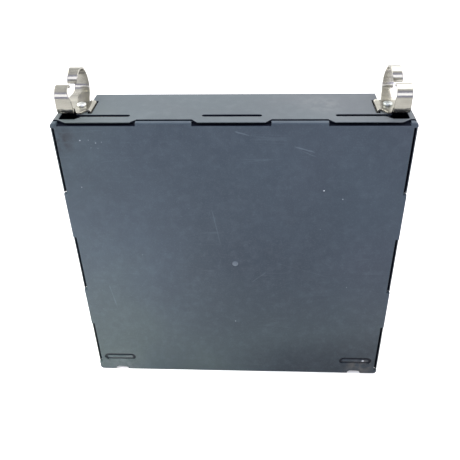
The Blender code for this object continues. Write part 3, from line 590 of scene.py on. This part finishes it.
soften(cover, 1.15, 5, 50, on_bar)
soften(cover, 0.28, 2, 50, lambda p: p.y < depth(1.7) and not (3.6 < p.z < 12.4 and 83 < abs(p.x) < 109.8))
darken(cover, cover_inner)

stub_profile = [(0.0, 0.40), (0.5, 0.41), (0.95, 0.39), (1.35, 0.34), (1.7, 0.25), (2.0, 0.13), (2.2, 0.0)]
stub = turned_mesh("gate_stub", [(r, h) for r, h in reversed(stub_profile)], 36, Vector((0, 0, 0)))
stub.transform(Matrix.Translation(at(GATE[0], 0.44, GATE[1])) @ Matrix.Rotation(math.radians(90), 4, "X"))
STUB = plastic("gate_stub_look", (0.075, 0.092, 0.108), (0.12, 0.14, 0.155), (0.25, 0.27, 0.29), no_painted_shade)
piece("gate_stub", stub, STUB, "cover")


# ------------------------------------------------------------- terminal clips
STRIP_T = 1.2
BASE_Z = TOP + 0.3
BASE_MID = BASE_Z + STRIP_T / 2
# Edges of the arms against the share of their length. The left clip is bent out a little further.
FRONT_OUT = {-1: 111.5, 1: 110.9}
FRONT_IN = {-1: ((0, 104.1), (0.27, 101.2), (0.42, 101.0), (0.55, 101.5), (0.62, 102.6), (0.7, 103.2), (0.86, 103.3), (1, 104.0)),
            1: ((0, 103.4), (0.27, 100.6), (0.42, 100.4), (0.58, 101.1), (0.86, 101.4), (1, 101.8))}
BACK_OUT = {-1: ((0, 111.3), (0.10, 111.9), (0.18, 111.7), (0.22, 111.1), (0.26, 110.3), (0.30, 109.7), (0.35, 109.4), (0.5, 109.0), (0.85, 108.8), (1, 109.6)),
            1: ((0, 110.7), (0.10, 110.3), (0.14, 109.6), (0.18, 108.7), (0.22, 107.6), (0.26, 106.8), (0.35, 106.5), (0.5, 107.0), (0.85, 108.6), (1, 109.4))}
BACK_IN = ((0, 95.8), (0.10, 96.7), (0.18, 97.6), (0.26, 98.2), (0.35, 98.8), (0.45, 99.2), (0.52, 99.5), (0.60, 100.3), (0.70, 100.7),
           (0.85, 101.9), (0.92, 102.3), (1, 103.6))
BEND_Y = (20.7, 29.5)
BASE_IN = 95.8
FLANGE_X = 92.6
FRONT_CENTRE = (16.4, 235.4)
FRONT_R = 6.8
FRONT_TURN = 85.0
HOOK_R = 4.2
BACK_CENTRE = (40.2, 238.2)
BACK_R = 6.8
RIVET_AT = (99.6, 24.5)


def bezier(p0, p1, p2, p3, steps):
    out = []
    for i in range(steps + 1):
        t = i / steps
        k = ((1 - t) ** 3, 3 * t * (1 - t) ** 2, 3 * t * t * (1 - t), t ** 3)
        out.append(tuple(k[0] * a + k[1] * b + k[2] * c + k[3] * d for a, b, c, d in zip(p0, p1, p2, p3)))
    return out


def arc(centre, radius, start, end, steps):
    return [(centre[0] + radius * math.cos(math.radians(start + (end - start) * i / steps)),
             centre[1] + radius * math.sin(math.radians(start + (end - start) * i / steps)))
            for i in range(1, steps + 1)]


def front_arm():
    left = FRONT_CENTRE[0] - FRONT_R
    line = bezier((BEND_Y[0], BASE_MID), (13.0, BASE_MID), (left, 225.8), (left, 230.4), 26)
    line += [(left, lerp(230.4, FRONT_CENTRE[1], i / 5)) for i in range(1, 6)]
    line += arc(FRONT_CENTRE, FRONT_R, 180, FRONT_TURN, 20)
    turn = math.radians(FRONT_TURN)
    hook = (FRONT_CENTRE[0] + (FRONT_R - HOOK_R) * math.cos(turn), FRONT_CENTRE[1] + (FRONT_R - HOOK_R) * math.sin(turn))
    return line + arc(hook, HOOK_R, FRONT_TURN, 20, 14)


def back_arm():
    right = BACK_CENTRE[0] + BACK_R
    line = bezier((BEND_Y[1], BASE_MID), (BEND_Y[1] + 10.0, BASE_MID), (right, 226.2), (right, 233.5), 26)
    line += [(right, lerp(233.5, BACK_CENTRE[1], i / 4)) for i in range(1, 5)]
    return line + arc(BACK_CENTRE, BACK_R, 0, 188, 36)


def fraction(line):
    run = [0.0]
    for p, q in zip(line, line[1:]):
        run.append(run[-1] + math.dist(p, q))
    return [r / run[-1] for r in run]


def table(x, rows):
    for (x0, y0), (x1, y1) in zip(rows, rows[1:]):
        if x <= x1:
            return y0 + (y1 - y0) * (x - x0) / (x1 - x0)
    return rows[-1][1]


def lerp(a, b, t):
    return a + (b - a) * t


def build_clip(name, side, stands_for):
    bm = bmesh.new()

    def sheet(rows):
        made = [[bm.verts.new(at(side * x, y, z)) for x, y, z in row] for row in rows]
        for a, b in zip(made, made[1:]):
            for i in range(len(a) - 1):
                bm.faces.new((a[i], a[i + 1], b[i + 1], b[i]))

    root, base_out = FRONT_IN[side][0][1], BACK_OUT[side][0][1]
    flank = root - 104.1
    bend = 1.3
    inner_u = [i / 8 for i in range(9)]
    outer_u = [i / 6 for i in range(7)]
    inner_x = [lerp(BASE_IN, root - 0.4, u) for u in inner_u]
    outer_x = [lerp(root, base_out, u) for u in outer_u]
    base_x = inner_x + outer_x
    fore_y = [17.6, 18.4, 19.2, 20.0]
    base_y = [lerp(BEND_Y[0], BEND_Y[1], i / 8) for i in range(9)]
    sheet([[(x, y, BASE_MID) for x in base_x] for y in base_y])

    front, back = front_arm(), back_arm()
    share = fraction(front)
    sheet([[(lerp(table(f, FRONT_IN[side]), table(f, ((0, base_out), (0.3, FRONT_OUT[side]), (1, FRONT_OUT[side]))), u), y, z)
            for u in outer_u] for f, (y, z) in zip(share, front)])
    rows = []
    for f, (y, z) in zip(fraction(back), back):
        inside, outside = table(f, BACK_IN), table(f, BACK_OUT[side])
        rows.append([(lerp(inside, outside, (x - BASE_IN) / (base_out - BASE_IN)), y, z) for x in base_x])
    sheet(rows)

    # Rounded tongue in front of the rivet.
    def slit(y):
        return lerp(102.3 + 0.85 * flank, root - 0.4, (y - fore_y[0]) / (BEND_Y[0] - fore_y[0]))

    sheet([[(lerp(BASE_IN, slit(y), u), y, BASE_MID) for u in inner_u] for y in fore_y + [BEND_Y[0]]])
    edge = [(x, fore_y[0]) for x in [FLANGE_X + bend, BASE_IN - 0.9] + [lerp(BASE_IN, slit(fore_y[0]), u) for u in inner_u]]
    edge += bezier(edge[-1], (101.3 + 0.5 * flank, 14.9), (100.5, 12.5), (98.8, 12.5), 10)[1:]
    edge += bezier((98.8, 12.5), (97.3, 12.5), (96.7, 16.1), (FLANGE_X + bend, fore_y[0]), 10)[1:-1]
    bm.faces.new([bm.verts.new(at(side * x, y, BASE_MID)) for x, y in edge])

    # Inner flange: bends down through the slot in the tray.
    line = [(BASE_IN, BASE_MID), (BASE_IN - 0.9, BASE_MID)]
    line += [(FLANGE_X + bend + bend * math.cos(a), BASE_MID - bend + bend * math.sin(a))
             for a in [math.pi / 2 + math.pi / 2 * i / 6 for i in range(7)]]
    line += [(FLANGE_X, lerp(BASE_MID - bend, 213.8, i / 4)) for i in range(1, 5)]
    flange_y = fore_y + base_y + [30.6, 31.8, 32.9, 33.9]
    sheet([[(x, y, z) for x, z in line] for y in flange_y])

    bmesh.ops.remove_doubles(bm, verts=bm.verts[:], dist=2e-6)
    bmesh.ops.recalc_face_normals(bm, faces=bm.faces[:])
    clip = piece(name, mesh_of(bm, name), CLIP, "case", stands_for)
    thick = clip.modifiers.new("Strip", "SOLIDIFY")
    thick.thickness = STRIP_T * MM
    thick.offset = 0.0
    thick.use_even_offset = True
    thick.use_quality_normals = True
    thick_mesh = evaluated(clip)
    clip.modifiers.clear()
    clip.data = thick_mesh
    return soften(clip, 0.16, 2, 55)


def build_rivet(name, side, stands_for):
    seat = BASE_Z + STRIP_T + 0.05
    head_r, head_h, tail = 3.0, 1.85, 217.9
    dome = [(head_r - 0.8 + 0.8 * math.cos(a), seat + 0.75 + 0.8 * math.sin(a)) for a in [math.radians(80) * i / 7 for i in range(8)]]
    dome += [(1.85, seat + 1.62), (1.4, seat + 1.72), (0.8, seat + 1.81)]
    profile = [(0.0, tail), (2.7, tail), (3.15, tail + 0.18), (3.3, tail + 0.6), (3.2, tail + 1.3), (2.9, tail + 1.7), (2.0, tail + 1.7),
               (2.0, seat), (head_r - 0.2, seat), (head_r, seat + 0.2)] + dome + [(0.0, seat + head_h)]
    mesh = turned_mesh(name, profile, 56, at(side * RIVET_AT[0], RIVET_AT[1], 0))
    # The positive rivet takes the dimmer copy: painted shade.
    return piece(name, mesh, RIVET if side < 0 else RIVET_SHADED, "case", stands_for)


for side, pole in ((-1, "negative"), (1, "positive")):
    build_clip("spring_clip_" + pole, side, ("terminal_clip_" + pole,))
    build_rivet("dome_rivet_" + pole, side, ("terminal_rivet_" + pole,))


# ---------------------------------------------------------------- inner pieces
def pad(name, node, body="case"):
    """Foam slab: rounded, a little uneven, with softened corners."""
    low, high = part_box(node)
    size = high - low
    thin = min(range(3), key=lambda i: size[i])
    wide = [i for i in range(3) if i != thin]
    bm = bmesh.new()
    bmesh.ops.create_cube(bm, size=1.0)
    for vert in bm.verts:
        vert.co = Vector([low[i] + (vert.co[i] + 0.5) * size[i] for i in range(3)])
    long_edges = [e for e in bm.edges if abs((e.verts[0].co - e.verts[1].co)[thin]) > 0.9 * size[thin]]
    bmesh.ops.bevel(bm, geom=long_edges, offset=4 * MM, segments=5, profile=0.5, affect="EDGES")
    rims = [e for e in bm.edges if abs((e.verts[0].co - e.verts[1].co)[thin]) < 1e-7
            and (abs(e.verts[0].co[thin] - low[thin]) < 1e-7 or abs(e.verts[0].co[thin] - high[thin]) < 1e-7)]
    bmesh.ops.bevel(bm, geom=rims, offset=0.3 * size[thin], segments=3, profile=0.5, affect="EDGES")
    for axis in wide:
        count = max(2, int(size[axis] / 0.012))
        for k in range(1, count):
            where = [0.0, 0.0, 0.0]
            where[axis] = low[axis] + size[axis] * k / count
            facing = [0.0, 0.0, 0.0]
            facing[axis] = 1.0
            bmesh.ops.bisect_plane(bm, geom=bm.verts[:] + bm.edges[:] + bm.faces[:], plane_co=where, plane_no=facing, dist=1e-7)
    for vert in bm.verts:
        a, b = vert.co[wide[0]] / MM, vert.co[wide[1]] / MM
        wave = 0.5 * (math.sin(a * 0.071 + 0.6) * math.cos(b * 0.053 + 1.1)) + 0.5 * math.sin(a * 0.031 - b * 0.043)
        middle = (low[thin] + high[thin]) / 2
        vert.co[thin] = middle + (vert.co[thin] - middle) * (0.90 + 0.08 * wave)
    bmesh.ops.recalc_face_normals(bm, faces=bm.faces[:])
    mesh = mesh_of(bm, name)
    mesh.shade_smooth()
    mesh.set_sharp_from_angle(angle=math.radians(60))
    obj = piece(name, mesh, FOAM, body, (node,))
    return obj


pad("foam_sheet_front", "foam_pad_front")
pad("foam_sheet_rear", "foam_pad_rear")
pad("foam_strip_bottom", "bottom_cushion")

for name, obj in nodes.items():
    if obj.hide_render:
        continue
    if "pouch" in name:
        look = FILM
    elif "electrode" in name:
        look = PACK
    elif "tab_negative" in name:
        look = NICKELLED
    elif "tab_positive" in name:
        look = ALU_TAB
    elif "washer" in name:
        look = WASHER
    elif name == "collector_bar_negative":
        look = COPPER
    elif name == "collector_bar_positive":
        look = ALUMINIUM
    elif "spacer" in name:
        look = SHEET
    else:
        look = CASE
    obj.data.materials.clear()
    obj.data.materials.append(look)


# ======================================================================== stage
floor_mesh = bpy.data.meshes.new("floor")
bm = bmesh.new()
bmesh.ops.create_grid(bm, x_segments=1, y_segments=1, size=4.0)
bm.to_mesh(floor_mesh)
bm.free()
floor = bpy.data.objects.new("floor", floor_mesh)
floor.location = (0, 0, -0.0002)
scene.collection.objects.link(floor)
ground = Look("floor_look", Roughness=0.9, Metallic=0.0, Emission_Color=(1.0, 1.0, 1.0, 1.0), Emission_Strength=0.35)
ground.colour(ground.mix(ground.span(ground.noise(3.0, 2.0), 0.3, 0.7), (0.46, 0.46, 0.46), (0.48, 0.48, 0.48)))
floor_mesh.materials.append(ground.material)


def area(name, where, target, size, power, colour=(1, 1, 1), size_y=None):
    data = bpy.data.lights.new(name, "AREA")
    data.shape = "RECTANGLE"
    data.size = size
    data.size_y = size_y or size
    data.energy = power
    data.color = colour
    lamp = bpy.data.objects.new(name, data)
    lamp.location = where
    lamp.rotation_euler = (Vector(target) - Vector(where)).to_track_quat("-Z", "Y").to_euler()
    lamp.visible_camera = False
    scene.collection.objects.link(lamp)
    return lamp


area("left_softbox", (-1.15, 0.15, 1.05), (0.0, 0.0, 0.15), 1.2, 46, (1.0, 0.985, 0.95))
area("right_softbox", (1.20, 0.10, 0.95), (0.0, 0.0, 0.10), 1.2, 30, (1.0, 0.985, 0.95))
area("front_strip", (0.0, -1.40, 0.92), (0.0, 0.0, 0.22), 1.9, 13.4, (0.97, 0.99, 1.06), 0.66)
# A pool of light on the floor at the left, mirrored softly in the front panel.
pool = area("floor_pool", (-0.38, -0.20, 0.42), (-0.23, -0.14, 0.0), 0.2, 1.75, (1.0, 0.985, 0.95))
pool.data.spread = math.radians(60)
pool.visible_glossy = False

world = bpy.data.worlds.new("studio")
world.use_nodes = True
scene.world = world
sky = world.node_tree
backdrop = sky.nodes["Background"]


def sky_span(value, low, high):
    n = sky.nodes.new("ShaderNodeMapRange")
    n.interpolation_type = "SMOOTHSTEP"
    sky.links.new(value, n.inputs["Value"])
    n.inputs["From Min"].default_value = low
    n.inputs["From Max"].default_value = high
    return n.outputs["Result"]


def sky_mix(factor, a, b):
    n = sky.nodes.new("ShaderNodeMix")
    n.data_type = "RGBA"
    sky.links.new(factor, n.inputs["Factor"])
    for key, value in ((6, a), (7, b)):
        if isinstance(value, tuple):
            n.inputs[key].default_value = (*value, 1.0)
        else:
            sky.links.new(value, n.inputs[key])
    return n.outputs[2]


def sky_times(a, b):
    n = sky.nodes.new("ShaderNodeMath")
    n.operation = "MULTIPLY"
    sky.links.new(a, n.inputs[0])
    sky.links.new(b, n.inputs[1])
    return n.outputs[0]


heading = sky.nodes.new("ShaderNodeSeparateXYZ")
sky.links.new(sky.nodes.new("ShaderNodeTexCoord").outputs["Generated"], heading.inputs[0])
sky_x, sky_y, sky_z = heading.outputs
# Pale ceiling, brighter on the right, a brighter wall behind and a dim bluish one in front.
tone = sky_mix(sky_times(sky_span(sky_y, 0.25, 0.75), sky_span(sky_z, 0.75, 0.35)), (0.92, 0.94, 1.02), (1.65, 1.65, 1.65))
patch = sky_times(sky_times(sky_span(sky_x, 0.03, 0.15), sky_span(sky_x, 0.56, 0.38)),
                  sky_times(sky_span(sky_y, -0.32, -0.12), sky_span(sky_z, 0.52, 0.68)))
tone = sky_mix(patch, tone, (5.2, 5.2, 5.5))
tone = sky_mix(sky_times(sky_span(sky_y, -0.35, -0.62), sky_span(sky_z, 0.86, 0.78)), tone, (0.56, 0.58, 0.95))
sky.links.new(tone, backdrop.inputs["Color"])
backdrop.inputs["Strength"].default_value = 1.0

scene.view_settings.view_transform = "Standard"
scene.view_settings.look = "None"

# Camera at the photograph's viewpoint.
FOCAL_PX = 587.2
turn = [math.radians(a) for a in (34.8342145, 2.90186442, 0.43925579)]
turned = (Matrix.Rotation(turn[2], 3, "Z") @ Matrix.Rotation(turn[1], 3, "Y") @ Matrix.Rotation(turn[0], 3, "X")
          @ Matrix(((1, 0, 0), (0, 0, -1), (0, 1, 0))))
shift = Vector((0.02496625, 0.51230529, 2.1340215)) * 230 * MM
place = -(turned.transposed() @ shift)
place.y += depth(0) * MM
pose = Matrix.Identity(4)
for i in range(3):
    pose[i][0], pose[i][1], pose[i][2], pose[i][3] = turned[0][i], -turned[1][i], -turned[2][i], place[i]
camera_data = bpy.data.cameras.new("camera")
camera_data.sensor_width = 36.0
camera_data.lens = 36.0 * FOCAL_PX / 460.0
camera_data.clip_start = 0.01
camera = bpy.data.objects.new("camera", camera_data)
camera.matrix_world = pose
scene.collection.objects.link(camera)
scene.camera = camera
